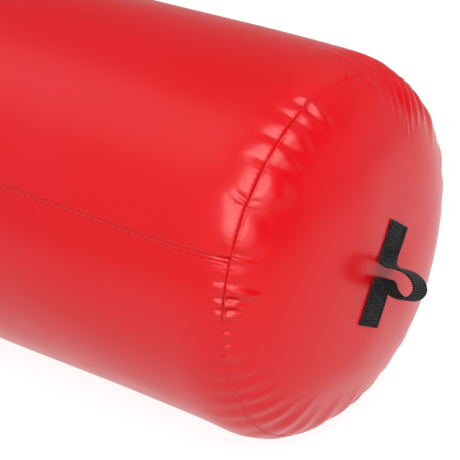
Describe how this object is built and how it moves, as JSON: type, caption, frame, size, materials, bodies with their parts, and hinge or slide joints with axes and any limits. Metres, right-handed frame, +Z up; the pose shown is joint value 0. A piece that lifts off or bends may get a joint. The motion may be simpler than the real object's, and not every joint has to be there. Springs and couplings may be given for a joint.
{
  "type": "sandbag",
  "caption": "Stuffed boxing sandbag lying on its side: glossy red tube with a domed end, gathered seam, webbing loop, zipped top and hanging straps with D-rings.",
  "frame": {"origin": "on the flat that the bag's weight presses into its underside, below the middle of its length", "axes": "+X along the bag to its closed bottom end with the webbing loop, +Z up"},
  "size_m": [1.0273, 0.32, 0.312],
  "materials": {
    "red_sheet": "smooth glossy coated sheet",
    "sheet_backing": "matte reverse of the coated sheet",
    "seam_tape": "woven tape",
    "webbing": "cross-ribbed black webbing",
    "ring_steel": "bright plated wire",
    "zip_teeth": "moulded",
    "zip_metal": "die-cast, plated",
    "foam": "open-cell foam",
    "liner": "plain woven sack",
    "textile": "packed rag",
    "pouch_skin": "coated pouch"
  },
  "bodies": {
    "bag": {"side_panel": "red_sheet", "side_seam_backing": "sheet_backing", "bottom_panel": "red_sheet", "bottom_patch": "sheet_backing", "bottom_seam_binding": "seam_tape", "loop_tail_upper": "webbing", "loop_tail_lower": "webbing", "top_panel_upper": "red_sheet", "top_panel_lower": "red_sheet", "top_seam_binding": "seam_tape", "zip_tape_upper": "seam_tape", "zip_tape_lower": "seam_tape", "zip_coil_upper": "zip_teeth", "zip_coil_lower": "zip_teeth", "zip_stop_closed": "zip_metal", "zip_stop_open": "zip_metal", "hang_strap_1": "webbing", "hang_strap_2": "webbing", "hang_strap_3": "webbing", "hang_strap_4": "webbing", "strap_patch_1": "sheet_backing", "strap_patch_2": "sheet_backing", "strap_patch_3": "sheet_backing", "strap_patch_4": "sheet_backing", "foam_wrap": "foam", "fill_liner": "liner", "liner_tie": "liner", "textile_fill": "textile", "sand_pouch_1": "pouch_skin", "sand_pouch_2": "pouch_skin", "sand_pouch_3": "pouch_skin", "bottom_pad": "foam", "top_pad": "foam"},
    "bottom_loop": {"bottom_loop": "webbing"},
    "zip_slider": {"zip_slider": "zip_metal"},
    "zip_pull": {"zip_pull": "zip_metal"},
    "d_ring_1": {"d_ring_1": "ring_steel"},
    "d_ring_2": {"d_ring_2": "ring_steel"},
    "d_ring_3": {"d_ring_3": "ring_steel"},
    "d_ring_4": {"d_ring_4": "ring_steel"}
  },
  "joints": [
    {"name": "d_ring_1_swing", "type": "hinge", "parent": "bag", "child": "d_ring_1", "pos_m": [-0.486, 0.11476, 0.26676], "axis": [0, 0.7071, -0.7071], "range_deg": [-4, 252]},
    {"name": "d_ring_2_swing", "type": "hinge", "parent": "bag", "child": "d_ring_2", "pos_m": [-0.486, -0.11476, 0.26676], "axis": [0, 0.7071, 0.7071], "range_deg": [-4, 252]},
    {"name": "d_ring_3_swing", "type": "hinge", "parent": "bag", "child": "d_ring_3", "pos_m": [-0.486, -0.11476, 0.03724], "axis": [0, 0.7071, -0.7071], "range_deg": [-72, 184]},
    {"name": "d_ring_4_swing", "type": "hinge", "parent": "bag", "child": "d_ring_4", "pos_m": [-0.486, 0.11476, 0.03724], "axis": [0, 0.7071, 0.7071], "range_deg": [-72, 184]},
    {"name": "zip_slide", "type": "slide", "parent": "bag", "child": "zip_slider", "axis": [0, -1, 0], "range_m": [0, 0.208]},
    {"name": "zip_pull_flip", "type": "hinge", "parent": "zip_slider", "child": "zip_pull", "pos_m": [-0.4856, 0.104, 0.152], "axis": [0, 0, -1], "range_deg": [0, 175]},
    {"name": "bottom_loop_sway", "type": "hinge", "parent": "bag", "child": "bottom_loop", "pos_m": [0.5054, -0.00047, 0.15112], "axis": [0, -0.8829, 0.4695], "range_deg": [-30, 30], "stiffness_Nm_per_rad": 0.02, "deforming": ["loop_tail_upper", "loop_tail_lower"]}
  ]
}
